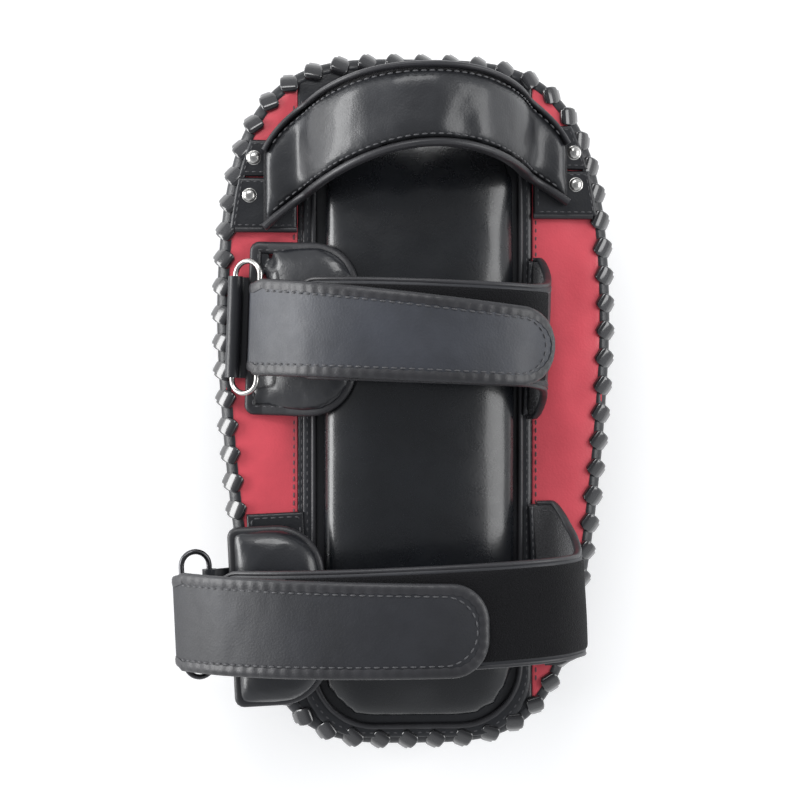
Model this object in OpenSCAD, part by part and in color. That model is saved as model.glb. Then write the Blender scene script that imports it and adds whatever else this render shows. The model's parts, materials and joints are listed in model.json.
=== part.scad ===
// Muay Thai kick pad lying on its striking face, rear side up.
// Millimetres. +Z up, +Y towards the grip end, z = 0 on the striking face.

/* [Body] */
// Width of the padded body at its widest
body_w = 220; // [190:1:240]
// Length of the padded body
body_l = 382; // [340:1:420]
// Thickness from striking face to rear panels
body_t = 90; // [70:1:110]
// How much narrower the lower end is than the grip end
taper = 0.13; // [0:0.01:0.2]
// Squareness of the outline, 2 is an ellipse
outline_power = 3.6; // [2.4:0.1:5]
// Thickness of the body leather
leather_t = 2.5; // [1.5:0.1:3.5]
// Half width of the black centre strip
strip_half_w = 66; // [50:1:80]

/* [Edge lacing] */
// Number of whip stitches round the rear edge
lace_count = 66; // [40:1:90]
// Width of the flat lace
lace_w = 11.4; // [6:0.5:14]
// Thickness of the lace
lace_t = 2.2; // [1.2:0.1:3]
// Slant of each stitch from the outward direction, degrees
lace_slant = -24; // [-40:1:40]

/* [Forearm cushion] */
// Half width of the cushion
cushion_half_w = 57; // [45:1:64]
// Height of the cushion at its crown
cushion_h = 27; // [15:1:40]
// Lower end of the cushion
cushion_y0 = -181; // [-182:1:-140]
// Upper end of the cushion, under the grip
cushion_y1 = 158; // [120:1:165]

/* [Grip handle] */
// Rise of the handle band over its ends
handle_rise = 52; // [35:1:60]
// Half distance between the handle's cut ends
handle_half_w = 85; // [76:1:92]
// Rise of the handle's grip edge from left to right, mm per mm
handle_lean = 0.09; // [-0.1:0.01:0.1]

/* [Straps] */
// Width of the straps
strap_w = 53; // [40:1:54]
// Width of the upper strap where it is sewn down
upper_root_w = 88; // [60:1:92]
// Width of the lower strap where it is sewn down
lower_root_w = 90; // [60:1:92]
// Shift of the lower strap's sewn-down end towards the grip
lower_root_shift = 9; // [0:1:10]
// Centre of the upper strap along the pad
upper_y = 37.5; // [20:0.5:50]
// Turn of the upper strap in plan, degrees
upper_yaw = -2; // [-4:0.1:4]
// Centre of the lower strap along the pad
lower_y = -114.7; // [-118:0.1:-90]
// Turn of the lower strap in plan, degrees
lower_yaw = 2.7; // [0:0.1:8]
// Skew of the strap ends over the straps, degrees
tongue_skew = -2.5; // [-5:0.1:5]
// Width of the strap ends at their rings
tongue_w = 55; // [50:0.5:56]
// Width of the upper strap end near its tip
upper_tip_w = 43; // [38:1:54]
// Width of the lower strap end near its tip
lower_tip_w = 49.5; // [38:0.5:54]
// Wire diameter of the strap rings
wire_d = 3; // [2.4:0.1:4]
// Distance between the two bars of a ring
ring_gap = 15.5; // [12:0.5:20]
// Overall length of the upper ring
upper_ring_len = 76; // [72:1:80]
// Overall length of the lower ring
lower_ring_len = 72; // [68:1:80]
// Shift of the lower ring towards the grip end
lower_ring_shift = 3; // [0:0.5:5]

/* [Hidden] */
$fn = 48;
half_w = body_w / 2;
half_l = body_l / 2;
wire_r = wire_d / 2;
binding_in = 4;
lace_r = 5.3;
lace_in = 0.4;
// Offsets of each layer from the strap's middle surface
lining_o = [-2, -0.05];
outer_o = [0.05, 2];
loop_o = [2.05, 3.2];
hook_o = [3.5, 4.65];
tongue_o = [4.75, 7.95];
tongue_mid = 6.35;
sleeve_r = [1.9, 3.9];
fold_r = [1.9, 5.1];
bar_off = 7.5;
near_off = bar_off + 3.5;
// Middle line of each strap in side view, from sewn root to ring
upper_line = [
    [61.8, 2.5], [65.8, 2.8], [69.6, 8.2], [70.4, 21], [66, 37], [51.5, 50], [28, 56.5], [0, 58],
    [-30, 52.5], [-55, 40], [-72, 23.5], [-82.3, 10.7], [-85, 7.3]
];
lower_line = [
    [66, 2.5], [74, 2.8], [82.5, 8.2], [88, 24.5], [84.5, 45], [68.5, 62], [40, 71], [5, 73],
    [-35, 68], [-72, 55], [-100, 36.5], [-115, 20], [-122.7, 8.8], [-125, 4.6]
];
ring_u_upper = 11;
ring_u_lower = 12;
upper_tilt = 30;
lower_tilt = 168;

// ---- curves ----
function smooth(t) = let (c = max(0, min(1, t))) c * c * (3 - 2 * c);
function narrowing(y) = 1 - taper * smooth((60 - y) / 230);
function spow(v, p) = sign(v) * pow(abs(v), p);
function outline_at(a) =
    let (y = half_l * spow(sin(a), 2 / outline_power))
    [half_w * spow(cos(a), 2 / outline_power) * narrowing(y), y];
function unit(v) = v / norm(v);
function outward(a) =
    let (d = outline_at(a + 0.4) - outline_at(a - 0.4), t = unit(d))
    [t.y, -t.x];
function outline(inset) = [for (a = [1.5:3:358.5]) outline_at(a) - inset * outward(a)];

// Equal spacing along the outline
dense = [for (a = [0:0.2:360]) outline_at(a)];
walk = [for (k = 0, s = 0; k < len(dense); s = s + (k + 1 < len(dense) ?
    norm(dense[k + 1] - dense[k]) : 0), k = k + 1) s];
function angle_of(s) = 0.2 * len([for (w = walk) if (w < s) 1]);

// A smooth line through points, and bands at two offsets from it
function pt(p, i) = i < 0 ? 2 * p[0] - p[1]
    : i >= len(p) ? 2 * p[len(p) - 1] - p[len(p) - 2] : p[i];
function curve(p, u) =
    let (i = min(floor(u), len(p) - 2), t = u - i)
    let (a = pt(p, i - 1), b = pt(p, i), c = pt(p, i + 1), d = pt(p, i + 2))
    0.5 * (2 * b + (c - a) * t + (2 * a - 5 * b + 4 * c - d) * t * t
        + (3 * b - a - 3 * c + d) * t * t * t);
function normal(p, u) =
    let (a = max(0, u - 0.05), b = min(len(p) - 1, u + 0.05), t = unit(curve(p, b) - curve(p, a)))
    [t.y, -t.x];
function steps(u0, u1) = concat([u0], [for (k = [floor(u0 * 4) + 1:ceil(u1 * 4) - 1]) k / 4], [u1]);
function rev(v) = [for (i = [len(v) - 1:-1:0]) v[i]];
function band(p, o, u0, u1) = concat(
    [for (u = steps(u0, u1)) curve(p, u) + o[0] * normal(p, u)],
    [for (u = rev(steps(u0, u1))) curve(p, u) + o[1] * normal(p, u)]);

// Strap end: lies on the strap, then lifts to pass over the ring's bar
function lift(u, um, ur) = (near_off - tongue_mid) * smooth((u - um) / (ur - um));
function tongue_band(p, o, u0, ur) =
    let (um = ur - 4.5)
    concat(
        [for (u = steps(u0, ur)) curve(p, u) + (o[0] + lift(u, um, ur)) * normal(p, u)],
        [for (u = rev(steps(u0, ur))) curve(p, u) + (o[1] + lift(u, um, ur)) * normal(p, u)]);
function fold_arc(p, ur, r, a0, a1) =
    let (n = normal(p, ur), a = atan2(n.y, n.x), c = bar_at(p, ur))
    [for (k = [0:10]) let (b = a + a0 + (a1 - a0) * k / 10) c + r * [cos(b), sin(b)]];
function folded_band(p, u0, ur) =
    let (um = ur - 4.5, us = steps(u0, ur))
    concat(
        [for (u = us) curve(p, u) + (tongue_o[1] + lift(u, um, ur)) * normal(p, u)],
        fold_arc(p, ur, fold_r[1], 8, 150),
        fold_arc(p, ur, fold_r[0], 150, 8),
        [for (u = rev(us)) curve(p, u) + (tongue_o[0] + lift(u, um, ur)) * normal(p, u)]);
function bar_at(p, ur) = curve(p, ur) + bar_off * normal(p, ur);
function anchor_at(p, ur, tilt) = bar_at(p, ur) - ring_gap * [cos(tilt), sin(tilt)];

// Handle line: level at both ends, two bends and a round top
function handle_line() =
    let (span = handle_half_w - 12, th = 2 * atan(handle_rise / span))
    let (r2 = 20, r1 = span / sin(th) - r2, top = handle_rise)
    let (right = concat(
        [for (k = [0:9]) let (a = th * k / 9) [r1 * sin(a), top - r1 * (1 - cos(a))]],
        [for (k = [6:-1:0]) let (a = th * k / 7) [span - r2 * sin(a), r2 * (1 - cos(a))]],
        [[handle_half_w + 6, 0]]))
    concat(rev([for (q = right) [-q.x, q.y]]), [for (i = [1:len(right) - 1]) right[i]]);
function line_normal(v, i) =
    let (t = unit(v[min(len(v) - 1, i + 1)] - v[max(0, i - 1)]))
    [-t.y, t.x];
function line_band(v, o) = concat(
    [for (i = [0:len(v) - 1]) v[i] + o[0] * line_normal(v, i)],
    [for (i = [len(v) - 1:-1:0]) v[i] + o[1] * line_normal(v, i)]);

// Rectangle with its own corner radius at the left and at the right
function corner(c, r, a0) = [for (a = [a0:9:a0 + 90]) c + r * [cos(a), sin(a)]];
function round_box(x0, x1, y0, y1, rl, rr, i) = concat(
    corner([x1 - rr, y1 - rr], rr - i, 0), corner([x0 + rl, y1 - rl], rl - i, 90),
    corner([x0 + rl, y0 + rl], rl - i, 180), corner([x1 - rr, y0 + rr], rr - i, 270));

// ---- placing ----
module on_back() translate([0, 0, body_t]) children();
module at_upper() translate([0, upper_y, body_t]) rotate([0, 0, upper_yaw]) children();
module at_lower() translate([0, lower_y, body_t]) rotate([0, 0, lower_yaw]) children();
module along_y(w) translate([0, w / 2, 0]) rotate([90, 0, 0]) linear_extrude(w) children();
module prism(pts, z0, z1) translate([0, 0, z0]) linear_extrude(z1 - z0) polygon(pts);
module ring_of(i0, i1, z0, z1) {
    difference() {
        prism(outline(i0), z0, z1);
        prism(outline(i1), z0 - 1, z1 + 1);
    }
}
module box(x0, x1, y0, y1, z0, z1) translate([x0, y0, z0]) cube([x1 - x0, y1 - y0, z1 - z0]);

// ---- padded body ----
module strike_panel(x0, x1) {
    intersection() {
        prism(outline(10), 0, leather_t);
        box(x0, x1, -250, 250, -1, 10);
    }
}
module strike_face_centre() color("black") strike_panel(-strip_half_w + 0.1, strip_half_w - 0.1);
module strike_face_left() color("firebrick") strike_panel(-150, -strip_half_w - 0.1);
module strike_face_right() color("firebrick") strike_panel(strip_half_w + 0.1, 150);
module side_wall() color("black") {
    ring_of(0, 2, 9, body_t - 8.2);
    ring_of(3, 5, 4, 9);
    ring_of(0, 5, 8.5, 9);
    ring_of(6.5, 9.8, 0.6, 4);
    ring_of(3, 8, 3.5, 4);
}
module foam_slab(i, z0, z1) prism(outline(i), z0, z1);
module foam_strike_layer() color("khaki") {
    foam_slab(10, leather_t + 0.1, 4.1);
    foam_slab(5.2, 4.05, 9.1);
    foam_slab(2.3, 9.05, 34);
}
module foam_middle_layer() color("gainsboro") foam_slab(2.3, 34.2, 66);
module backing_board() color("dimgray") {
    difference() {
        foam_slab(5, 66.2, body_t - leather_t - 0.1);
        washer_spots() translate([0, 0, -10.2]) cylinder(h = 20, r = 5.2);
    }
}
module back_sheet(x0, x1) {
    intersection() {
        prism(outline(binding_in + 0.2), body_t - leather_t, body_t);
        box(x0, x1, -250, 250, 0, 200);
    }
}
module rivet_bores(r) washer_spots() translate([0, 0, -11]) cylinder(h = 22, r = r);
module back_panel_centre() color("black") back_sheet(-strip_half_w + 0.1, strip_half_w - 0.1);
module back_panel_left() color("firebrick") {
    difference() {
        back_sheet(-150, -strip_half_w - 0.1);
        rivet_bores(1.65);
    }
}
module back_panel_right() color("firebrick") {
    difference() {
        back_sheet(strip_half_w + 0.1, 150);
        rivet_bores(1.65);
    }
}
module edge_binding() color("black") ring_of(-1, binding_in, body_t - 8, body_t);
module lace_stitch() {
    w = lace_w / 2;
    rotate([90, 0, 0])
        rotate([0, 0, -88])
            rotate_extrude(angle = 266)
                polygon([
                    [lace_r - lace_t, -w + 1.2], [lace_r - 0.7, -w], [lace_r, -w + 1.8],
                    [lace_r, w - 1.8], [lace_r - 0.7, w], [lace_r - lace_t, w - 1.2]
                ]);
}
module perimeter_lace() color("dimgray") {
    for (k = [0:lace_count - 1]) {
        a = angle_of((k + 0.5) * walk[len(walk) - 1] / lace_count);
        n = outward(a);
        p = outline_at(a) - lace_in * n;
        translate([p.x, p.y, body_t - 2.5])
            rotate([0, 0, atan2(n.y, n.x) + lace_slant])
                lace_stitch();
    }
}

// ---- forearm cushion ----
module cushion_block(i, z0) {
    rx = (pow(cushion_half_w, 2) + 361) / 38;
    long = [for (y = [cushion_y0 - 8:12:cushion_y1 + 8]) [y, cushion_h - i - pow(y + 20, 2) / 2900]];
    intersection() {
        prism(round_box(1 - cushion_half_w, 1 + cushion_half_w, cushion_y0, cushion_y1, 34, 34, i), z0, 60);
        translate([1, 0, cushion_h - rx]) rotate([90, 0, 0]) cylinder(h = 500, r = rx - i, center = true);
        translate([-100, 0, 0]) rotate([90, 0, 90]) linear_extrude(200)
            polygon(concat([[cushion_y0 - 9, -9]], long, [[cushion_y1 + 9, -9]]));
    }
}
module forearm_cushion_cover() color("black") on_back() {
    difference() {
        cushion_block(0, 0.05);
        cushion_block(1.8, -1);
    }
}
module forearm_cushion_foam() color("khaki") on_back() cushion_block(1.95, 0.05);
module forearm_cushion_piping() color("dimgray") on_back() {
    difference() {
        prism(round_box(-59 + 1, 59 + 1, cushion_y0 - 1.5, cushion_y1 + 1.5, 35.5, 35.5, 0), 0.05, 3.6);
        prism(round_box(-57.2 + 1, 57.2 + 1, cushion_y0 - 0.2, cushion_y1 + 0.2, 34.2, 34.2, 0), -1, 5);
    }
}

// ---- grip handle ----
// Plan edges: a square-shouldered far edge and a leaning grip edge
function far_edge(x) = 106.9 + 0.03 * x + 73.6 * pow(1 - pow(min(1, abs(x) / 92), 2.4), 1 / 2.4);
function grip_edge(x) = 136 - x * x / 214 + handle_lean * x;
edge_steps = [for (k = [-14:14]) handle_half_w * k / 14];
module handle_plan(grip_in, far_in) {
    prism(concat(
        [for (x = edge_steps) [x, grip_edge(x) + grip_in]],
        [for (x = rev(edge_steps)) [x, far_edge(x) - far_in]]), -5, 90);
}
module handle_solid(o) {
    translate([0, 130, 0]) along_y(140) polygon(line_band(handle_line(), o));
}
module at_handle() translate([0, 0, body_t + 3.4]) children();
module handle_layer(o, grip_in, far_in) at_handle() intersection() {
    handle_solid(o);
    handle_plan(grip_in, far_in);
    box(1 - handle_half_w, handle_half_w - 1, 0, 250, -5, 90);
}
module handle_outer() color("black") handle_layer([8.1, 10], 3.6, 2.6);
module handle_foam() color("khaki") handle_layer([2.1, 8], 5, 4);
module handle_lining() color("dimgray") handle_layer([0.1, 2], 3.6, 2.6);
module handle_top_binding() color("gray") at_handle() intersection() {
    handle_solid([0.1, 10.6]);
    prism(concat(
        [for (x = edge_steps) [x, far_edge(x) - 2.5]],
        [for (x = rev(edge_steps)) [x, far_edge(x)]]), -5, 90);
}
module handle_grip_piping() color("gray") at_handle() intersection() {
    handle_solid([0.1, 11.2]);
    prism(concat(
        [for (x = edge_steps) [x, grip_edge(x)]],
        [for (x = rev(edge_steps)) [x, grip_edge(x) + 3.5]]), -5, 90);
}
module tab(x0, x1, y0, y1) {
    difference() {
        on_back() intersection() {
            prism(outline(2.5), 0.05, 3.1);
            box(x0, x1, y0, y1, 0, 4);
        }
        rivet_bores(1.65);
    }
}
module handle_tab_left() color("black") tab(-120, -66.5, 95.5, 145.5);
module handle_tab_right() color("black") tab(66.5, 120, 104, 155);

rivet_points = [[-90.4, 135.3], [-92.8, 114.4], [89.2, 139.7], [90.2, 121.8]];
module washer_spots() {
    for (p = rivet_points) translate([p.x, p.y, body_t]) children();
}
module tab_rivets() color("silver") {
    washer_spots() {
        translate([0, 0, -10]) cylinder(h = 13.3, r = 1.6);
        intersection() {
            translate([0, 0, 3.2]) cylinder(h = 4, r = 3.89);
            translate([0, 0, 0.75]) sphere(r = 4.6);
        }
    }
}
module tab_rivet_washers() color("silver") {
    washer_spots() difference() {
        translate([0, 0, -9.6]) cylinder(h = 1, r = 5);
        translate([0, 0, -11]) cylinder(h = 4, r = 1.65);
    }
}

// ---- straps ----
// Side of the root trim: width over the strap at each height above the rear panels
function flare(h) = let (s = strap_w / 2) [
    [h, -5], [h, 5], [h - (h - s) * 0.2, 9], [h - (h - s) * 0.5, 16], [h - (h - s) * 0.75, 25],
    [h - (h - s) * 0.91, 35], [s, 46], [s, 110]
];
module root_trim(root_w, shift, x_ring) {
    s = strap_w / 2;
    prism([
        [40, -s], [40, s], [x_ring + 24, s], [x_ring + 14, s - 4], [x_ring - 20, s - 4],
        [x_ring - 20, 4 - s], [x_ring + 14, 4 - s], [x_ring + 24, -s]
    ], -30, 110);
    translate([39.9, 0, 0]) rotate([90, 0, 90]) linear_extrude(120) polygon(concat(
        flare(root_w / 2 + shift), [for (q = rev(flare(root_w / 2 - shift))) [-q.x, q.y]]));
}
module strap_layer(p, o, u0, u1, root_w, shift) {
    intersection() {
        along_y(2 * root_w) polygon(band(p, o, u0, u1));
        root_trim(root_w, shift, p[len(p) - 2].x);
    }
}
module strap_root(p, root_w, shift) {
    x = p[0].x;
    translate([x - 0.5, shift - root_w / 2, 4.6]) cube([3.2, root_w, 1.8]);
}
module loop_patch(p, u0, u1) {
    intersection() {
        along_y(strap_w - 5) polygon(band(p, loop_o, u0, u1));
        box(-200, 200, -50, 50, 20, 110);
    }
}
module ring(p, ur, tilt, len_y, shift) {
    a = anchor_at(p, ur, tilt);
    ly = len_y / 2 - wire_r - ring_gap / 2;
    translate([a.x, shift, a.y]) rotate([0, -tilt, 0]) {
        for (x = [0, ring_gap]) {
            translate([x, 0, 0]) rotate([90, 0, 0]) cylinder(h = 2 * ly, r = wire_r, center = true);
        }
        for (s = [0, 180]) {
            translate([ring_gap / 2, 0, 0]) rotate([0, 0, s]) translate([0, ly, 0])
                rotate_extrude(angle = 180) translate([ring_gap / 2, 0]) circle(r = wire_r);
        }
    }
}
// Plan shape of a strap end: skewed, tapering from the ring to a round tip, pulled in by i
module tongue_plan(x_ring, x_tip, tip_w, i) {
    w = tongue_w / 2 - i;
    l = x_tip - x_ring - i;
    h = tip_w / 2 - i;
    r = min(20, h - 0.5);
    translate([x_ring, 0, 0]) rotate([0, 0, tongue_skew]) prism(concat(
        [[-25, -w]], corner([l - r, r - h], r, 270), corner([l - r, h - r], r, 0), [[-25, w]]), -30, 120);
}
module tongue_core(p, ur, u_tip, x_tip, tip_w) {
    intersection() {
        along_y(90) polygon(folded_band(p, u_tip, ur));
        tongue_plan(bar_at(p, ur).x, x_tip, tip_w, 2.7);
    }
}
module tongue_rim(p, ur, u_tip, x_tip, tip_w) {
    difference() {
        intersection() {
            along_y(90) polygon(tongue_band(p, tongue_o + [0, 0.6], u_tip, ur));
            tongue_plan(bar_at(p, ur).x, x_tip, tip_w, 0);
        }
        tongue_plan(bar_at(p, ur).x, x_tip, tip_w, 2.65);
    }
}
module hook_patch(p, ur, u0, u1, x_tip, tip_w) {
    intersection() {
        along_y(90) polygon(band(p, hook_o, u0, u1));
        tongue_plan(bar_at(p, ur).x, x_tip, tip_w, 3.2);
    }
}

// Padded guards: a D in plan, thin where sewn and thick in the middle
module guard_solid(lo, hi, x0, x1, w, i, di) {
    intersection() {
        along_y(w + 2) polygon(concat(
            [for (q = lo) q + [0, di]],
            [for (q = rev(hi)) q - [0, di]]));
        prism(round_box(x0, x1, -w / 2, w / 2, 5, 26, i), -10, 60);
    }
}
module guard_cover(lo, hi, x0, x1, w) {
    difference() {
        guard_solid(lo, hi, x0, x1, w, 2.7, 0);
        guard_solid(lo, hi, x0, x1, w, 4.5, 1.4);
    }
}
module guard_rim(lo, rim, x0, x1, w) {
    difference() {
        guard_solid(lo, rim, x0, x1, w, 0, 0);
        prism(round_box(x0, x1, -w / 2, w / 2, 5, 26, 2.6), -11, 61);
    }
}

upper_guard_lo = [[-95, 0.3], [-84, 0.3], [-70, 5], [-58, 10.4], [-46, 16], [-32, 22]];
upper_guard_hi = [
    [-95, 4.6], [-84, 5.4], [-79, 9.8], [-71, 15.5], [-60, 21.5], [-48, 27.5], [-38, 31], [-32, 30]
];
upper_guard_rim = [[-95, 4.2], [-84, 5], [-70, 10.6], [-58, 16], [-46, 21.4], [-32, 27]];
lower_guard_lo = [[-104, 9], [-74, 9], [-60, 11], [-45, 17]];
lower_guard_hi = [[-104, 15], [-98, 19], [-88, 22.5], [-74, 24.5], [-62, 26], [-52, 26.5], [-45, 24.5]];
lower_guard_rim = [[-104, 14], [-74, 14], [-60, 16], [-45, 22]];

module sleeve(a, w) {
    translate([a.x, 0, a.y]) rotate([90, 0, 0]) difference() {
        cylinder(h = w, r = sleeve_r[1], center = true);
        cylinder(h = w + 2, r = sleeve_r[0], center = true);
    }
}

module upper_anchor_loop() color("black") at_upper() {
    a = anchor_at(upper_line, ring_u_upper, upper_tilt);
    difference() {
        union() {
            sleeve(a, 57);
            along_y(57) polygon([[a.x - 1, 0.1], [-96, 0.1], [-96, 2.4], [a.x + 3.4, a.y], [a.x - 1, a.y]]);
        }
        translate([a.x, 0, a.y]) rotate([90, 0, 0]) cylinder(h = 80, r = sleeve_r[0], center = true);
    }
}
module upper_guard_cover() color("black") at_upper()
    guard_cover(upper_guard_lo, upper_guard_hi, -94, -34, 96);
module upper_guard_foam() color("khaki") at_upper()
    guard_solid(upper_guard_lo, upper_guard_hi, -94, -34, 96, 4.7, 1.55);
module upper_guard_binding() color("gray") at_upper()
    guard_rim(upper_guard_lo, upper_guard_rim, -94, -34, 96);
module upper_strap_outer() color("dimgray") at_upper()
    strap_layer(upper_line, outer_o, 0, 12, upper_root_w, 0);
module upper_strap_lining() color("black") at_upper()
    strap_layer(upper_line, lining_o, 0, 12, upper_root_w, 0);
module upper_strap_root() color("black") at_upper() strap_root(upper_line, upper_root_w - 2, 0);
module upper_loop_patch() color("black") at_upper() loop_patch(upper_line, 4, 9);
module upper_ring() color("silver") at_upper()
    ring(upper_line, ring_u_upper, upper_tilt, upper_ring_len, 0);
module upper_tongue() color("dimgray") at_upper() tongue_core(upper_line, ring_u_upper, 3.75, 72, upper_tip_w);
module upper_tongue_binding() color("gray") at_upper()
    tongue_rim(upper_line, ring_u_upper, 3.75, 72, upper_tip_w);
module upper_hook_patch() color("black") at_upper()
    hook_patch(upper_line, ring_u_upper, 4.25, 7, 72, upper_tip_w);

module lower_anchor_band() color("black") at_lower() {
    a = anchor_at(lower_line, ring_u_lower, lower_tilt);
    difference() {
        translate([0, lower_ring_shift, 0]) union() {
            sleeve(a, 50);
            along_y(50) polygon([
                [a.x, a.y + 1.9], [a.x, a.y + 3.9], [-104, 8.8], [-98, 6.4], [-90, 2.6], [-80, 2.6],
                [-80, 0.1], [-92, 0.1], [-97, 4.4], [-104, 6.6]
            ]);
        }
        translate([a.x, 0, a.y]) rotate([90, 0, 0]) cylinder(h = 80, r = sleeve_r[0], center = true);
    }
    box(-92, -60, -36, 56, 0.1, 2.6);
}
module lower_guard_cover() color("black") at_lower()
    guard_cover(lower_guard_lo, lower_guard_hi, -103, -51, 99);
module lower_guard_foam() color("khaki") at_lower()
    guard_solid(lower_guard_lo, lower_guard_hi, -103, -51, 99, 4.7, 1.55);
module lower_guard_binding() color("gray") at_lower()
    guard_rim(lower_guard_lo, lower_guard_rim, -103, -51, 99);
module lower_strap_outer() color("dimgray") at_lower()
    strap_layer(lower_line, outer_o, 0, 11.75, lower_root_w, lower_root_shift);
module lower_strap_lining() color("black") at_lower()
    strap_layer(lower_line, lining_o, 0, 11.75, lower_root_w, lower_root_shift);
module lower_strap_root() color("black") at_lower() strap_root(lower_line, lower_root_w - 2, lower_root_shift);
module lower_loop_patch() color("black") at_lower() loop_patch(lower_line, 3, 9);
module lower_ring() color("silver") at_lower()
    ring(lower_line, ring_u_lower, lower_tilt, lower_ring_len, lower_ring_shift);
module lower_tongue() color("dimgray") at_lower() tongue_core(lower_line, ring_u_lower, 5, 32, lower_tip_w);
module lower_tongue_binding() color("gray") at_lower()
    tongue_rim(lower_line, ring_u_lower, 5, 32, lower_tip_w);
module lower_hook_patch() color("black") at_lower()
    hook_patch(lower_line, ring_u_lower, 5.5, 8, 32, lower_tip_w);

strike_face_centre();
strike_face_left();
strike_face_right();
side_wall();
foam_strike_layer();
foam_middle_layer();
backing_board();
back_panel_centre();
back_panel_left();
back_panel_right();
edge_binding();
perimeter_lace();
forearm_cushion_cover();
forearm_cushion_foam();
forearm_cushion_piping();
handle_outer();
handle_foam();
handle_lining();
handle_top_binding();
handle_grip_piping();
handle_tab_left();
handle_tab_right();
tab_rivets();
tab_rivet_washers();
upper_anchor_loop();
upper_guard_cover();
upper_guard_foam();
upper_guard_binding();
upper_strap_outer();
upper_strap_lining();
upper_strap_root();
upper_loop_patch();
upper_ring();
upper_tongue();
upper_tongue_binding();
upper_hook_patch();
lower_anchor_band();
lower_guard_cover();
lower_guard_foam();
lower_guard_binding();
lower_strap_outer();
lower_strap_lining();
lower_strap_root();
lower_loop_patch();
lower_ring();
lower_tongue();
lower_tongue_binding();
lower_hook_patch();
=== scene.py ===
"""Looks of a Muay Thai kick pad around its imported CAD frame.

Lengths are millimetres until a mesh is made.
"""

import json
import math
import random

import bmesh
import bpy
import numpy as np
from mathutils import Matrix, Vector, noise


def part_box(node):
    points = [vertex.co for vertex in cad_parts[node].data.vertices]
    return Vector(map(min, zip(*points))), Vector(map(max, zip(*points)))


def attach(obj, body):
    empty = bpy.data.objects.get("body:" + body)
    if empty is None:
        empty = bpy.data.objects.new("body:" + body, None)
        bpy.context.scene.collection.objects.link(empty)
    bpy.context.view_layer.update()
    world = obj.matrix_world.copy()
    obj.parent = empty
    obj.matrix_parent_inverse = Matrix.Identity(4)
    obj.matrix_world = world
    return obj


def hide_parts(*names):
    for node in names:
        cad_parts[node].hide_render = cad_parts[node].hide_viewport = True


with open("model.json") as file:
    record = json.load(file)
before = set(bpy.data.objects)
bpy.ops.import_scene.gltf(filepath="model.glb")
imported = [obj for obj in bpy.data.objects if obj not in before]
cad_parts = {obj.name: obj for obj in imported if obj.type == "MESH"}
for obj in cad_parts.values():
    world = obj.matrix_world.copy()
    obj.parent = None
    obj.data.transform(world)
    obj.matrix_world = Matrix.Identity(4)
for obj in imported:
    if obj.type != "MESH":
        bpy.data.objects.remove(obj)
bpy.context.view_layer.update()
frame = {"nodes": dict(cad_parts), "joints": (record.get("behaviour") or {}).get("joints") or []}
random.seed(7)

MM = 0.001
JOINTS = {j["name"]: j for j in frame["joints"]}


def node_box(name):
    """Lowest and highest corner of a CAD node, in millimetres."""
    lo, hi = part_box(name)
    return np.array(lo) / MM, np.array(hi) / MM


# ---------------------------------------------------------------- driving sizes
BACK_Z = node_box("back_panel_centre")[1][2]
HALF_L = (node_box("side_wall")[1][1] - node_box("side_wall")[0][1]) / 2
HALF_W = (node_box("side_wall")[1][0] - node_box("side_wall")[0][0]) / 2
TAPER = 0.13
OUTLINE_POWER = 3.6
OUTLINE_STEPS = 720
STRIP_HALF_W = node_box("back_panel_centre")[1][0]
# Half the gap left between panels at a seam, and a seam's distance to its stitches
SEAM_GAP = 0.2
SEAM_ROW = 2.2
LACE_COUNT = 66
LACE_SLANT = math.radians(-30)
STRAP_W = 53
TONGUE_W = 55
TONGUE_SKEW = math.radians(-2.5)
WIRE_R = 1.5
RING_GAP = 15.5
# Distance of a ring's bar, and of the strap end's middle, from the strap's middle line
BAR_OFF = 7.5
TONGUE_MID = 6.35
FOLD_R = 3.5
UP = np.array((0, 0, 1))
# Side views of the straps from sewn root to ring: x, and height over the rear panels
UPPER_LINE = [
    (61.8, 2.5), (65.8, 2.8), (69.6, 8.2), (70.4, 21), (66, 37), (51.5, 50), (28, 56.5), (0, 58),
    (-30, 52.5), (-55, 40), (-72, 23.5), (-82.3, 10.7), (-85, 7.3),
]
LOWER_LINE = [
    (66, 2.5), (74, 2.8), (82.5, 8.2), (88, 24.5), (84.5, 45), (68.5, 62), (40, 71), (5, 73),
    (-35, 68), (-72, 55), (-100, 36.5), (-115, 20), (-122.7, 8.8), (-125, 4.6),
]


# ---------------------------------------------------------------- curves
def smooth(t):
    c = np.clip(t, 0, 1)
    return c * c * (3 - 2 * c)


def narrowing(y):
    return 1 - TAPER * smooth((60 - y) / 230)


def half_width(y, inset=0.0):
    """Half width of the body outline at y, pulled in by inset."""
    t = np.clip(np.abs(y) / (HALF_L - inset), 0, 1)
    return np.maximum((HALF_W * narrowing(y) - inset) * (1 - t**OUTLINE_POWER) ** (1 / OUTLINE_POWER), 0)


def even(points, count, closed=False):
    """Points respaced evenly along a polyline."""
    p = np.asarray(points, float)
    if closed:
        p = np.vstack([p, p[:1]])
    s = np.concatenate([[0], np.cumsum(np.linalg.norm(np.diff(p, axis=0), axis=1))])
    at = np.linspace(0, s[-1], count, endpoint=not closed)
    return np.stack([np.interp(at, s, p[:, i]) for i in range(p.shape[1])], axis=1)


def tangents(p, closed=False):
    if closed:
        d = np.roll(p, -1, axis=0) - np.roll(p, 1, axis=0)
    else:
        d = np.gradient(p, axis=0)
    return d / np.maximum(np.linalg.norm(d, axis=1, keepdims=True), 1e-12)


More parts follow.
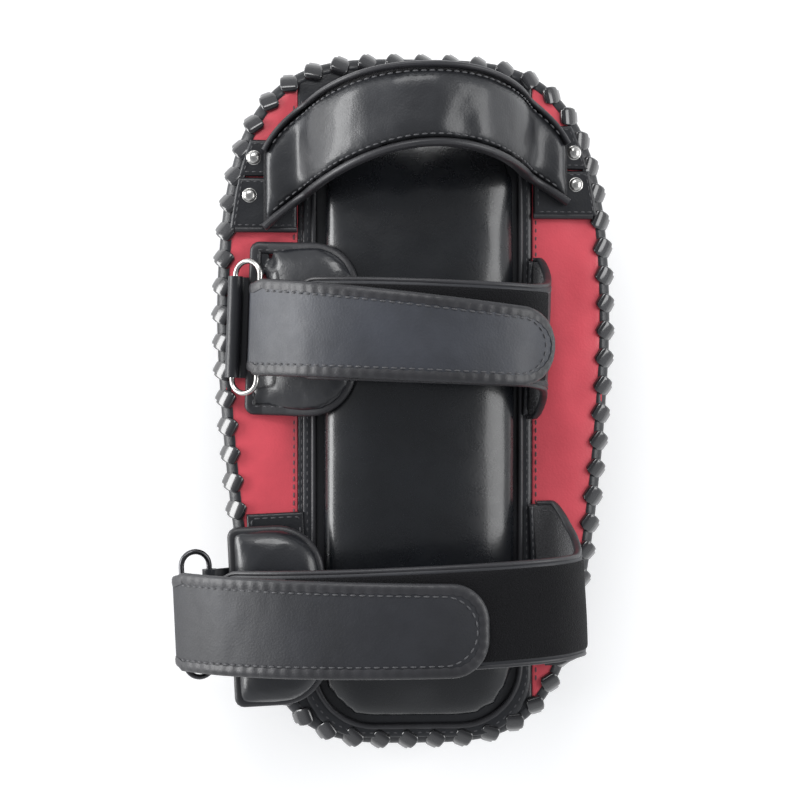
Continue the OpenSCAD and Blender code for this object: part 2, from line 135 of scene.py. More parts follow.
def outline(count):
    """Even points on the body outline with their outward directions."""
    a = np.radians(np.arange(0, 360, 0.2))
    power = 2 / OUTLINE_POWER
    y = HALF_L * np.sign(np.sin(a)) * np.abs(np.sin(a)) ** power
    x = HALF_W * np.sign(np.cos(a)) * np.abs(np.cos(a)) ** power * narrowing(y)
    p = even(np.stack([x, y], axis=1), count, closed=True)
    t = tangents(p, closed=True)
    return p, np.stack([t[:, 1], -t[:, 0]], axis=1)


def curve(line, u):
    """Catmull-Rom points on a strap's side-view line."""
    p = np.asarray(line, float)
    p = np.vstack([2 * p[0] - p[1], p, 2 * p[-1] - p[-2]])
    u = np.atleast_1d(np.asarray(u, float))
    i = np.minimum(np.floor(u).astype(int), len(line) - 2)
    t = (u - i)[:, None]
    a, b, c, d = p[i], p[i + 1], p[i + 2], p[i + 3]
    cubic = (3 * b - a - 3 * c + d) * t**3
    return 0.5 * (2 * b + (c - a) * t + (2 * a - 5 * b + 4 * c - d) * t**2 + cubic)


def line_normal(line, u):
    u = np.atleast_1d(np.asarray(u, float))
    t = curve(line, np.minimum(len(line) - 1, u + 0.05)) - curve(line, np.maximum(0, u - 0.05))
    t /= np.linalg.norm(t, axis=1, keepdims=True)
    return np.stack([t[:, 1], -t[:, 0]], axis=1)


class Group:
    """A strap's own frame: x along the strap, y across it, z up from the rear panels."""

    def __init__(self, line, joint):
        self.line = line
        j = JOINTS[joint]
        axis, pos = j["axis"], np.array(j["pos_m"]) / MM
        self.yaw = math.atan2(axis[0], -axis[1])
        self.origin_y = pos[1] - pos[0] * math.tan(self.yaw)

    def place(self, local):
        x, y, z = (np.asarray(local)[..., i] for i in range(3))
        c, s = math.cos(self.yaw), math.sin(self.yaw)
        return np.stack([x * c - y * s, self.origin_y + x * s + y * c, BACK_Z + z], axis=-1)

    def at(self, u, y, o):
        """Point at line position u, across y and out from the line by o."""
        u, y, o = np.broadcast_arrays(*(np.asarray(v, float) for v in (u, y, o)))
        c = curve(self.line, u.ravel()).reshape(*u.shape, 2)
        n = line_normal(self.line, u.ravel()).reshape(*u.shape, 2)
        return self.place(np.stack([c[..., 0] + o * n[..., 0], y, c[..., 1] + o * n[..., 1]], axis=-1))

    def up(self, u):
        """Direction pointing out of the strap loop at u."""
        n = line_normal(self.line, u)
        c, s = math.cos(self.yaw), math.sin(self.yaw)
        return np.stack([n[:, 0] * c, n[:, 0] * s, n[:, 1]], axis=1)


UPPER = Group(UPPER_LINE, "upper_ring_swing")
LOWER = Group(LOWER_LINE, "lower_ring_swing")


# ---------------------------------------------------------------- meshes
def mesh_object(name, points, faces, sharp=50):
    mesh = bpy.data.meshes.new(name)
    mesh.from_pydata((np.asarray(points) * MM).tolist(), [], faces)
    mesh.validate()
    solid = bmesh.new()
    solid.from_mesh(mesh)
    bmesh.ops.remove_doubles(solid, verts=solid.verts, dist=1e-6)
    bmesh.ops.recalc_face_normals(solid, faces=solid.faces)
    solid.to_mesh(mesh)
    solid.free()
    mesh.update()
    mesh.polygons.foreach_set("use_smooth", [True] * len(mesh.polygons))
    mesh.set_sharp_from_angle(angle=math.radians(sharp))
    obj = bpy.data.objects.new(name, mesh)
    bpy.context.scene.collection.objects.link(obj)
    return obj


def grid_faces(rows, cols, close_rows=False, close_cols=False):
    faces = []
    for i in range(rows if close_rows else rows - 1):
        for j in range(cols if close_cols else cols - 1):
            a, b = i * cols, (i + 1) % rows * cols
            k = (j + 1) % cols
            faces.append((a + j, a + k, b + k, b + j))
    return faces


def ring_part(rings, closed=False):
    """Points and faces of a skin over rings of points, its ends capped unless it closes."""
    rings = np.asarray(rings, float)
    rows, cols = rings.shape[:2]
    faces = grid_faces(rows, cols, close_rows=closed, close_cols=True)
    if not closed:
        faces += [tuple(range(cols))[::-1], tuple((rows - 1) * cols + j for j in range(cols))]
    return rings.reshape(-1, 3), faces


def loft(name, rings, closed=False):
    return mesh_object(name, *ring_part(rings, closed))


def sweep_rings(path, up, section, closed=False):
    """Rings of a section (across, up) carried along a path; section may change along it."""
    path = np.asarray(path, float)
    t = tangents(path, closed)
    up = np.broadcast_to(np.asarray(up, float), path.shape)
    side = np.cross(t, up)
    side /= np.linalg.norm(side, axis=1, keepdims=True)
    up = np.cross(side, t)
    section = np.broadcast_to(np.asarray(section, float), (len(path), *np.asarray(section).shape[-2:]))
    return path[:, None] + section[..., :1] * side[:, None] + section[..., 1:] * up[:, None]


def oval(rx, ry, count=12, power=1.0):
    a = np.linspace(0, 2 * math.pi, count, endpoint=False)
    c, s = np.cos(a), np.sin(a)
    return np.stack([rx * np.sign(c) * np.abs(c) ** power, ry * np.sign(s) * np.abs(s) ** power], axis=1)


def merge(name, parts, sharp=50):
    """One mesh from several (points, faces) pairs."""
    points, faces, start = [], [], 0
    for p, f in parts:
        p = np.asarray(p, float).reshape(-1, 3)
        points.append(p)
        faces += [tuple(start + i for i in face) for face in f]
        start += len(p)
    return mesh_object(name, np.vstack(points), faces, sharp)


def stitches(name, runs, length=3.0, gap=1.5, radius=0.42):
    """Thread stitches laid along runs of (path, up), each a short arched capsule."""
    parts = []
    for path, up in runs:
        path = np.asarray(path, float)
        up = np.broadcast_to(np.asarray(up, float), path.shape)
        s = np.concatenate([[0], np.cumsum(np.linalg.norm(np.diff(path, axis=0), axis=1))])
        pitch = length + gap
        for k in range(int(s[-1] // pitch)):
            at = k * pitch + gap / 2 + length * np.linspace(0, 1, 5)
            p = np.stack([np.interp(at, s, path[:, i]) for i in range(3)], axis=1)
            n = np.stack([np.interp(at, s, up[:, i]) for i in range(3)], axis=1)
            rise = np.array([-0.55, 0.15, 0.3, 0.15, -0.55]) * radius
            size = np.array([0.35, 0.95, 1.0, 0.95, 0.35])
            section = oval(radius, radius * 0.8, 6)[None] * size[:, None, None]
            parts.append(ring_part(sweep_rings(p + n * rise[:, None], n, section)))
    return merge(name, parts)


def closed_run(p):
    """A closed run of points facing up, as stitches() takes it."""
    return np.vstack([p, p[:1]]), UP


def wobble(p, scale, size, seed=0.0):
    """Smooth noise at points in millimetres."""
    q = np.asarray(p, float).reshape(-1, 3) / scale + seed
    return np.array([noise.noise(Vector(v)) for v in q]).reshape(np.asarray(p).shape[:-1]) * size


# ---------------------------------------------------------------- materials
def material(name):
    mat = bpy.data.materials.new(name)
    mat.use_nodes = True
    tree = mat.node_tree
    return mat, tree, tree.nodes["Principled BSDF"]


def link(tree, a, out, b, socket):
    tree.links.new(a.outputs[out], b.inputs[socket])


def node(tree, kind, **values):
    n = tree.nodes.new(kind)
    for key, value in values.items():
        if hasattr(n, key):
            setattr(n, key, value)
        else:
            n.inputs[key.replace("_", " ")].default_value = value
    return n


def textures(tree, *kinds):
    """Texture nodes laid out in object space."""
    where = node(tree, "ShaderNodeTexCoord")
    made = [node(tree, f"ShaderNodeTex{kind}", **values) for kind, values in kinds]
    for texture in made:
        link(tree, where, "Object", texture, "Vector")
    return made


def roughness(tree, bsdf, texture, lo, hi):
    span = node(tree, "ShaderNodeMapRange", To_Min=lo, To_Max=hi)
    link(tree, texture, "Fac", span, "Value")
    link(tree, span, "Result", bsdf, "Roughness")


def relief(tree, bsdf, height, out, strength, distance):
    bump = node(tree, "ShaderNodeBump", Strength=strength, Distance=distance)
    link(tree, height, out, bump, "Height")
    link(tree, bump, "Normal", bsdf, "Normal")


def ramp(tree, lo, hi, at=(0.0, 1.0)):
    n = tree.nodes.new("ShaderNodeValToRGB")
    for element, colour, place in zip(n.color_ramp.elements, (lo, hi), at):
        element.color = (*colour, 1)
        element.position = place
    return n


def shade(colour, k):
    return tuple(min(1, c * k) for c in colour)


def leather(name, colour, rough, grain=1.0, coat=0.0, worn=1.8, spread=0.25):
    """Grained leather: pebbled cells, fine pores, soft colour variation and paler worn edges."""
    mat, t, bsdf = material(name)
    cells, pores, cloud, creases = textures(
        t,
        ("Voronoi", dict(feature="SMOOTH_F1", Scale=820, Smoothness=0.7)),
        ("Noise", dict(Scale=2600, Detail=2.0)),
        ("Noise", dict(Scale=26, Detail=4.0, Roughness=0.6)),
        ("Noise", dict(Scale=95, Detail=5.0, Roughness=0.65, Distortion=0.8)),
    )
    tone = ramp(t, shade(colour, 1 - spread), shade(colour, 1 + spread), (0.32, 0.68))
    link(t, cloud, "Fac", tone, "Fac")
    edge = node(t, "ShaderNodeNewGeometry")
    wear = ramp(t, (0, 0, 0), (1, 1, 1), (0.53, 0.62))
    link(t, edge, "Pointiness", wear, "Fac")
    patchy = node(t, "ShaderNodeMath", operation="MULTIPLY")
    link(t, wear, "Color", patchy, 0)
    link(t, creases, "Fac", patchy, 1)
    mix = node(t, "ShaderNodeMix", data_type="RGBA")
    link(t, patchy, "Value", mix, "Factor")
    link(t, tone, "Color", mix, 6)
    mix.inputs[7].default_value = (*shade(colour, worn), 1)
    link(t, mix, 2, bsdf, "Base Color")
    roughness(t, bsdf, creases, max(0.04, rough - 0.07), rough + 0.09)
    height, both = (node(t, "ShaderNodeMath", operation="MULTIPLY_ADD") for _ in range(2))
    height.inputs[1].default_value = 0.35
    link(t, pores, "Fac", height, 0)
    link(t, cells, "Distance", height, 2)
    both.inputs[1].default_value = 0.9
    link(t, creases, "Fac", both, 0)
    link(t, height, "Value", both, 2)
    relief(t, bsdf, both, "Value", 0.22 * grain, 0.0003)
    bsdf.inputs["Coat Weight"].default_value = coat
    bsdf.inputs["Coat Roughness"].default_value = 0.12
    bsdf.inputs["Specular IOR Level"].default_value = 0.5
    return mat


def cloth(name, colour, scale=1300, rough=0.85, sheen=0.4, depth=0.0004, shine=0.5):
    """Woven lining or brushed loop pile."""
    mat, t, bsdf = material(name)
    fuzz, cloud, weave = textures(
        t,
        ("Noise", dict(Scale=scale, Detail=3.0, Roughness=0.7)),
        ("Noise", dict(Scale=40, Detail=3.0)),
        ("Voronoi", dict(feature="F1", Scale=scale * 0.8)),
    )
    tone = ramp(t, shade(colour, 0.55), shade(colour, 1.6), (0.3, 0.7))
    link(t, fuzz, "Fac", tone, "Fac")
    link(t, tone, "Color", bsdf, "Base Color")
    roughness(t, bsdf, cloud, rough - 0.1, min(1, rough + 0.1))
    add = node(t, "ShaderNodeMath", operation="ADD")
    link(t, fuzz, "Fac", add, 0)
    link(t, weave, "Distance", add, 1)
    relief(t, bsdf, add, "Value", 0.8, depth)
    bsdf.inputs["Specular IOR Level"].default_value = shine
    bsdf.inputs["Sheen Weight"].default_value = sheen
    bsdf.inputs["Sheen Roughness"].default_value = 0.5
    return mat


def metal(name, colour=(0.60, 0.59, 0.57)):
    """Nickel-plated steel with fine scratches and a little tarnish."""
    mat, t, bsdf = material(name)
    where = node(t, "ShaderNodeTexCoord")
    stretch = node(t, "ShaderNodeMapping", Scale=(900, 120, 900))
    scratch = node(t, "ShaderNodeTexNoise", Scale=1.0, Detail=4.0)
    cloud = node(t, "ShaderNodeTexNoise", Scale=180, Detail=4.0)
    link(t, where, "Object", stretch, "Vector")
    link(t, stretch, "Vector", scratch, "Vector")
    link(t, where, "Object", cloud, "Vector")
    tone = ramp(t, shade(colour, 0.72), colour, (0.35, 0.6))
    link(t, cloud, "Fac", tone, "Fac")
    link(t, tone, "Color", bsdf, "Base Color")
    roughness(t, bsdf, scratch, 0.14, 0.36)
    relief(t, bsdf, scratch, "Fac", 0.15, 0.0001)
    bsdf.inputs["Metallic"].default_value = 1.0
    return mat


BLACK = leather("leather_black", (0.014, 0.015, 0.018), 0.36)
GLOSS = leather("leather_gloss", (0.006, 0.007, 0.009), 0.27, grain=0.6, coat=0.3)
HANDLE = leather("leather_handle", (0.020, 0.021, 0.024), 0.36, coat=0.15)
GUARD = leather("leather_guard", (0.014, 0.015, 0.018), 0.29, grain=0.8, coat=0.3)
# One strap leather in two copies: the darker copy is painted shade, laid on both strap faces and the
# lower tongue.
STRAP = leather("leather_strap", (0.032, 0.035, 0.044), 0.47)
STRAP_PAINTED_SHADE = leather("leather_strap_painted_shade", (0.014, 0.015, 0.019), 0.5)
TRIM = leather("leather_trim", (0.022, 0.022, 0.025), 0.40, grain=0.8)
RED = leather("leather_red", (0.64, 0.074, 0.100), 0.40, worn=1.2, spread=0.1)
LACE = leather("lace_leather", (0.014, 0.014, 0.016), 0.20, grain=0.3, coat=1.0)
LINING = cloth("lining_cloth", (0.035, 0.035, 0.038))
LOOP = cloth("loop_pile", (0.005, 0.005, 0.006), scale=1500, rough=0.95, sheen=0.05, shine=0.2)
HOOK = cloth("hook_plastic", (0.018, 0.018, 0.02), scale=700, rough=0.6, sheen=0.0, depth=0.001)
THREAD = cloth("thread", (0.055, 0.055, 0.06), scale=3000, rough=0.6, sheen=0.2, depth=0.0001)
NICKEL = metal("nickel")
# A darker copy of the same nickel, given to the lower ring.
NICKEL_DARKER = metal("nickel_darker", (0.10, 0.10, 0.105))


def dress(obj, mat, *stands_for, body="pad"):
    """Gives a piece its material and body, and hides the CAD nodes it stands for."""
    obj.data.materials.clear()
    obj.data.materials.append(mat)
    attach(obj, body)
    if stands_for:
        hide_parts(*stands_for)


def points_of(mesh):
    """Places of a mesh's vertices, in metres."""
    v = np.empty(len(mesh.vertices) * 3)
    mesh.vertices.foreach_get("co", v)
    return v.reshape(-1, 3)


def move_points(obj, v):
    obj.data.vertices.foreach_set("co", v.ravel())
    obj.data.update()


# ---------------------------------------------------------------- soft filling
def apply_modifiers(obj):
    bpy.context.view_layer.update()
    dg = bpy.context.evaluated_depsgraph_get()
    mesh = bpy.data.meshes.new_from_object(obj.evaluated_get(dg))
    obj.modifiers.clear()
    obj.data = mesh


CLOTH_PRESSURE = 4.0
CLOTH_FRAMES = 20


def inflate(obj, voxel, cap, pinned=lambda q: np.zeros(len(q))):
    """Remeshes a closed form and blows it up as cloth, no point further than cap.

    pinned(points in mm) gives each point's hold, 0 to 1.
    """
    remesh = obj.modifiers.new("remesh", "REMESH")
    remesh.mode = "VOXEL"
    remesh.voxel_size = voxel * MM
    apply_modifiers(obj)
    rest = points_of(obj.data)
    hold = obj.vertex_groups.new(name="hold")
    for i, w in enumerate(pinned(rest / MM)):
        hold.add([i], float(w), "REPLACE")
    sim = obj.modifiers.new("cloth", "CLOTH")
    s = sim.settings
    s.quality = 6
    s.mass = 0.25
    s.tension_stiffness = s.compression_stiffness = s.shear_stiffness = 12
    s.bending_stiffness = 0.8
    s.use_pressure = True
    s.uniform_pressure_force = CLOTH_PRESSURE
    s.effector_weights.gravity = 0
    s.vertex_group_mass = "hold"
    sim.point_cache.frame_start, sim.point_cache.frame_end = 1, CLOTH_FRAMES
    for f in range(1, CLOTH_FRAMES + 1):
        bpy.context.scene.frame_set(f)
    dg = bpy.context.evaluated_depsgraph_get()
    move = points_of(obj.evaluated_get(dg).data) - rest
    size = np.linalg.norm(move, axis=1, keepdims=True)
    move *= np.minimum(1, cap * MM / np.maximum(size, 1e-9))
    obj.modifiers.clear()
    move_points(obj, rest + move)
    bpy.context.scene.frame_set(1)
    relax = obj.modifiers.new("relax", "SMOOTH")
    relax.factor, relax.iterations = 0.5, 6
    apply_modifiers(obj)
    obj.data.polygons.foreach_set("use_smooth", [True] * len(obj.data.polygons))
    smoother = obj.modifiers.new("smooth", "SUBSURF")
    smoother.levels = smoother.render_levels = 1


# ---------------------------------------------------------------- shared shapes
def span(lo, hi, count):
    """Places from lo to hi, closer together at both ends."""
    return lo + (hi - lo) * (spread(count) + 1) / 2


def inside(x, x0, x1, y, y0, y1):
    """Distance in from the nearest side of a box."""
    return np.minimum(np.minimum(x - x0, x1 - x), np.minimum(y - y0, y1 - y))


def plate(name, place, x, y, edge, foot, base, rise, radius, waves=None):
    """Flat patch with rounded edges; waves is the scale, size and seed of its unevenness."""
    flat = np.stack([x, y, 0 * x], axis=-1)
    z = base + rise * rounded(edge, radius)
    if waves:
        z = z + wobble(flat, *waves)
    return slab(name, place(np.stack([x, y, z], axis=-1)), place(flat + (0, 0, foot)))


def box_plate(name, place, xs, ys, counts, *form):
    x, y = np.meshgrid(span(*xs, counts[0]), span(*ys, counts[1]), indexing="ij")
    return plate(name, place, x, y, inside(x, *xs, y, *ys), *form)


def on_back(p):
    """Points given over the rear panels."""
    return np.asarray(p) + (0, 0, BACK_Z)


def slab(name, top, bottom):
    """Closed sheet between two grids of points, rows by columns by 3."""
    rows, cols = top.shape[:2]
    faces = grid_faces(rows, cols)
    low = rows * cols
    faces += [tuple(low + i for i in f[::-1]) for f in grid_faces(rows, cols)]
    rim = list(range(cols))
    rim += [i * cols + cols - 1 for i in range(1, rows)]
    rim += [(rows - 1) * cols + j for j in range(cols - 2, -1, -1)]
    rim += [i * cols for i in range(rows - 2, 0, -1)]
    for a, b in zip(rim, rim[1:] + rim[:1]):
        faces.append((b, a, low + a, low + b))
    return mesh_object(name, np.vstack([top.reshape(-1, 3), bottom.reshape(-1, 3)]), faces)


def spread(count):
    """Columns from -1 to 1, closer together at the edges."""
    return np.sin(np.linspace(-math.pi / 2, math.pi / 2, count))


def rounded(distance, radius):
    """Share of the full thickness at a distance in from a rounded edge."""
    t = 1 - np.clip(distance / radius, 0, 1)
    return np.sqrt(np.maximum(1 - t * t, 0.01))


def outline_span(inset, xs):
    """Lowest and highest y of the outline, pulled in by inset, at each x."""
    p, n = outline(1440)
    p = p - inset * n
    low, high = p[p[:, 1] < 0], p[p[:, 1] >= 0]
    low, high = low[np.argsort(low[:, 0])], high[np.argsort(high[:, 0])]
    return np.interp(xs, low[:, 0], low[:, 1]), np.interp(xs, high[:, 0], high[:, 1])


def panel(name, x0, x1, inset, z0, z1, puff, wrinkle, face_up=True):
    """One leather panel of the body between x0 and x1, puffed between its seams."""
    limit = HALF_W - inset - 0.6
    xs = np.clip(span(x0, x1, 30), -limit, limit)
    lo, hi = outline_span(inset, xs)
    y = lo + (hi - lo) * span(0, 1, 120)[:, None]
    x = np.broadcast_to(xs, y.shape)
    edge = inside(x, x0, x1, y, lo, hi)
    edge = np.maximum(np.minimum(edge, np.abs(half_width(y, inset) - np.abs(x))), 0)
    flat = np.stack([x, y, np.zeros_like(x)], axis=-1)
    round_edge = 0.5 * rounded(edge, 1.5)[..., None] * UP
    if not face_up:
        return slab(name, flat + (0, 0, z1), flat + (0, 0, z0 + 0.5) - round_edge)
    soft = wobble(flat, 38, wrinkle, 3.1) + wobble(flat * (1, 0.45, 1), 14, wrinkle * 0.45, 8.7)
    lift = puff * (1 - np.exp(-edge / 9)) + soft * (1 - np.exp(-edge / 6))
    return slab(name, flat + (0, 0, z1 - 0.5) + round_edge + lift[..., None] * UP, flat + (0, 0, z0))


def outline_run(inset, z):
    p, n = outline(OUTLINE_STEPS)
    p = np.column_stack([p - inset * n, np.full(OUTLINE_STEPS, z)])
    return np.vstack([p, p[:1]])


# ---------------------------------------------------------------- padded body
def body_shell():
    p, n = outline(300)
    z = np.array([1.0, 0.6, 1.2, 2.6, 5.0, 9.0, 16, 28, 42, 56, 68, 77, 82, 84.5, 85.2])
    inset = np.array([14, 10.5, 8.0, 6.0, 3.9, 1.9, 0.5, 0, -0.4, -0.4, 0, 0.4, 0.9, 1.6, 6])
    rings = []
    for zi, k in zip(z, inset):
        ring = np.column_stack([p - k * n, np.full(len(p), zi)])
        if 5 < zi < 80:
            dent = wobble(ring, 42, 0.55, 1.3) + wobble(ring * (1, 1, 2.2), 13, 0.22, 5.5)
            ring[:, :2] += n * dent[:, None]
        rings.append(ring)
    obj = loft("side_wall_cover", rings)
    dress(
        obj, BLACK, "side_wall", "foam_strike_layer", "foam_middle_layer", "backing_board",
    )


def welt(name, inset, z, radius, mat):
    path = outline_run(inset, z)[:-1]
    rings = sweep_rings(path, UP, oval(radius, radius, 10), closed=True)
    dress(loft(name, rings, closed=True), mat)


def sides():
    """The three panels of a face, red at both sides of the black strip."""
    s = STRIP_HALF_W - SEAM_GAP
    t = STRIP_HALF_W + SEAM_GAP
    return ("centre", -s, s, BLACK), ("left", -HALF_W, -t, RED), ("right", t, HALF_W, RED)


def strike_face():
    for side, x0, x1, mat in sides():
        obj = panel(f"strike_panel_{side}", x0, x1, 10, 0, 2.5, 0, 0, face_up=False)
        dress(obj, mat, f"strike_face_{side}")


def rear_panels():
    for side, x0, x1, mat in sides():
        wrinkle = 0.8 if side == "centre" else 1.5
        obj = panel(f"rear_panel_{side}", x0, x1, 3.4, BACK_Z - 2.5, BACK_Z - 0.4, 0.9, wrinkle)
        dress(obj, mat, f"back_panel_{side}")


def seam_rows(inset, z, up):
    """Rows of stitches along both sides of the two long seams."""
    rows = []
    for seam in (-STRIP_HALF_W, STRIP_HALF_W):
        for x in (seam - SEAM_ROW, seam + SEAM_ROW):
            lo, hi = outline_span(inset, np.array([x]))
            y = np.linspace(lo[0], hi[0], 160)
            rows.append((np.column_stack([np.full(160, x), y, np.full(160, z)]), up))
    return rows


def body_stitching():
    out = np.column_stack([outline(OUTLINE_STEPS)[1], np.zeros(OUTLINE_STEPS)])
    round_foot = (outline_run(2.2, 9.5), np.vstack([out, out[:1]]))
    dress(stitches("body_stitching", seam_rows(9, BACK_Z - 0.1, UP) + [round_foot]), THREAD)
    dress(stitches("strike_face_stitching", seam_rows(14, 0.35, (0, 0, -1)), radius=0.3), THREAD)


def edge_binding():
    """Folded leather edge, pinched a little by every lace stitch."""
    p, n = outline(528)
    section = np.array([
        (4.8, 88.9), (4.8, 89.8), (4.0, 90.1), (2.6, 89.6), (0.9, 88.6), (-0.4, 87.5),
        (-1.3, 86.0), (-1.6, 84.0), (-1.3, 82.4), (-0.4, 81.9), (0.6, 82.3), (1.6, 85.5), (3, 88.2),
    ])
    rings = np.array([p - k * n for k, _ in section]).transpose(1, 0, 2)
    pinch = 0.28 * np.cos(2 * math.pi * LACE_COUNT * np.arange(len(p)) / len(p))
    z = section[None, :, 1] + pinch[:, None] + BACK_Z - 90
    obj = loft("edge_binding_cover", np.dstack([rings, z]), closed=True)
    dress(obj, BLACK, "edge_binding")


LACE_PATH = (
    (-6.7, -1.2), (-6.2, 0.9), (-4.8, 2.0), (-2.6, 1.2), (-0.4, -0.4), (1.7, -2.4),
    (3.3, -4.8), (3.9, -7.4), (3.0, -9.2), (1.0, -9.8),
)


def lacing():
    """Flat lace whipped over the rear edge, one slanted leaf-shaped pass per stitch."""
    p, n = outline(LACE_COUNT * 8)
    u = np.linspace(0, len(LACE_PATH) - 1, 31)
    out, z = curve(LACE_PATH, u).T
    face = line_normal(LACE_PATH, u) * (-1, -1)
    leaf = np.sqrt(np.maximum(1 - np.abs((out + 1.6) / 5.8) ** 2.6, 0))
    leaf = np.where(z < -3, np.minimum(leaf, 0.5), leaf)
    parts = []
    for k in range(LACE_COUNT):
        i = k * 8 + 4
        turn = LACE_SLANT + math.radians(random.uniform(-3, 3))
        c, s = math.cos(turn), math.sin(turn)
        away = np.array([n[i][0] * c - n[i][1] * s, n[i][0] * s + n[i][1] * c])
        reach = random.uniform(0.96, 1.03)
        path = np.column_stack([p[i] + np.outer(out * reach, away), BACK_Z + z])
        up = np.column_stack([np.outer(face[:, 0], away), face[:, 1]])
        w = 5.2 * random.uniform(0.94, 1.04) * (0.2 + 0.8 * leaf)
        section = oval(1, 1, 16, 0.55)[None] * np.stack([w, 0.4 + 0.4 * leaf], axis=1)[:, None, :]
        parts.append(ring_part(sweep_rings(path, up, section)))
    obj = merge("edge_lace", parts, 60)
    dress(obj, LACE, "perimeter_lace")


# ---------------------------------------------------------------- forearm cushion
CUSHION_LOW, CUSHION_HIGH = node_box("forearm_cushion_cover")
CUSHION_X = float(np.mean([corner[0] for corner in node_box("forearm_cushion_foam")]))
CUSHION_Y = CUSHION_LOW[1], CUSHION_HIGH[1]
CUSHION_HALF_W = (CUSHION_HIGH[0] - CUSHION_LOW[0]) / 2
CUSHION_H = CUSHION_HIGH[2] - BACK_Z


def round_box(half_x, half_y, corner, count):
    """Even points round a rectangle with rounded corners, centred on the origin."""
    pts = []
    for k, (sx, sy) in enumerate(((1, 1), (-1, 1), (-1, -1), (1, -1))):
        cx, cy = sx * (half_x - corner), sy * (half_y - corner)
        a = np.radians(np.linspace(0, 90, 13) + 90 * k)
        pts += [(cx + corner * math.cos(v), cy + corner * math.sin(v)) for v in a]
    return even(pts, count, closed=True)


def cushion_ring(grow, z, count=200):
    half_y = (CUSHION_Y[1] - CUSHION_Y[0]) / 2
    p = round_box(CUSHION_HALF_W + grow, half_y + grow, 34 + min(grow, 0), count)
    y = p[:, 1] + (CUSHION_Y[0] + CUSHION_Y[1]) / 2
    return np.column_stack([p[:, 0] + CUSHION_X, y, np.full(count, BACK_Z + z)])


def forearm_cushion():
    rings = [cushion_ring(-2, 0.3)]
    dome = (
        (-2, 5), (-3, 10), (-7, 14.5), (-13, 17.5), (-22, 19.6), (-33, 20.8), (-45, 21.4), (-54, 21.6),
    )
    for grow, z in dome:
        ring = cushion_ring(grow, z)
        ring[:, 2] -= (ring[:, 1] + 20) ** 2 / 3100 * (z / 22)
        rings.append(ring)
    obj = loft("forearm_cushion", rings)
    inflate(obj, 5, 7, lambda q: np.clip(1 - (q[:, 2] - BACK_Z - 2) / 4, 0, 1))
    settle(obj, BACK_Z + 0.2, BACK_Z + CUSHION_H + 1)
    dress(obj, GLOSS, "forearm_cushion_cover", "forearm_cushion_foam")


def settle(obj, low, high):
    """Creases the leather lightly and keeps it above low and below high."""
    v = points_of(obj.data) / MM
    v[:, 2] += wobble(v * (1, 0.5, 1), 22, 0.55, 2.2) + wobble(v * (0.6, 1, 1), 9, 0.18, 6.1)
    v[:, 2] = np.clip(v[:, 2], low, high)
    move_points(obj, v * MM)


def cushion_trim():
    path = cushion_ring(1.0, 2.0, 480)
    rings = sweep_rings(path, UP, oval(1.7, 1.8, 12), closed=True)
    obj = loft("forearm_cushion_welt", rings, closed=True)
    dress(obj, TRIM, "forearm_cushion_piping")
    flange = slab_ring("forearm_cushion_flange", 2.2, 7.2, 0.2, 1.5)
    dress(flange, BLACK)
    run = cushion_ring(4.6, 1.55, 700)
    dress(stitches("forearm_cushion_stitching", [closed_run(run)]), THREAD)


def slab_ring(name, inner, outer, z0, z1):
    levels = (
        (inner, z0), (inner, z1), ((inner + outer) / 2, z1 + 0.25), (outer - 0.5, z1),
        (outer, z1 - 0.7), (outer, z0),
    )
    rings = np.array([cushion_ring(g, z, 360) for g, z in levels]).transpose(1, 0, 2)
    return loft(name, rings, closed=True)


# ---------------------------------------------------------------- grip handle
HANDLE_HALF_W = 85
HANDLE_RISE = 52
HANDLE_UP = 3.4
HANDLE_ROWS = 141


def handle_line():
    """Side view of the handle: level ends, two bends and a round top, evenly spaced."""
    span, r2 = HANDLE_HALF_W - 12, 20
    th = 2 * math.atan(HANDLE_RISE / span)
    r1 = span / math.sin(th) - r2
    a = np.linspace(0, th, 40)
    arch = np.column_stack([r1 * np.sin(a), HANDLE_RISE - r1 * (1 - np.cos(a))])
    a = np.linspace(th, 0, 12)[1:]
    bend = np.column_stack([span - r2 * np.sin(a), r2 * (1 - np.cos(a))])
    right = np.vstack([arch, bend, [[HANDLE_HALF_W, 0]]])
    left = right[:0:-1] * (-1, 1)
    return even(np.vstack([left, right]), HANDLE_ROWS)


def handle_edge(x, outer):
    """Plan y of the handle's square-shouldered far edge or leaning grip edge at x."""
    if outer:
        t = np.minimum(np.abs(x) / 92, 1)
        return 106.9 + 0.03 * x + 73.6 * (1 - t**2.4) ** (1 / 2.4)
    return 136 - x * x / 214 + 0.09 * x


def handle_points(across, lift):
    """Handle points; across runs from 0 at the grip edge to 1 at the far edge."""
    line = handle_line()
    t = tangents(line)
    normal = np.column_stack([-t[:, 1], t[:, 0]])
    x, z = (line[:, i, None] + lift * normal[:, i, None] for i in (0, 1))
    y = handle_edge(x, False) * (1 - across) + handle_edge(x, True) * across
    return np.stack(np.broadcast_arrays(x, y, BACK_Z + HANDLE_UP + z), axis=-1)


def handle_run(across, lift):
    """Line along the handle with its outward directions."""
    path, above = (handle_points(across, h)[:, 0] for h in (lift, lift + 1))
    return path, above - path


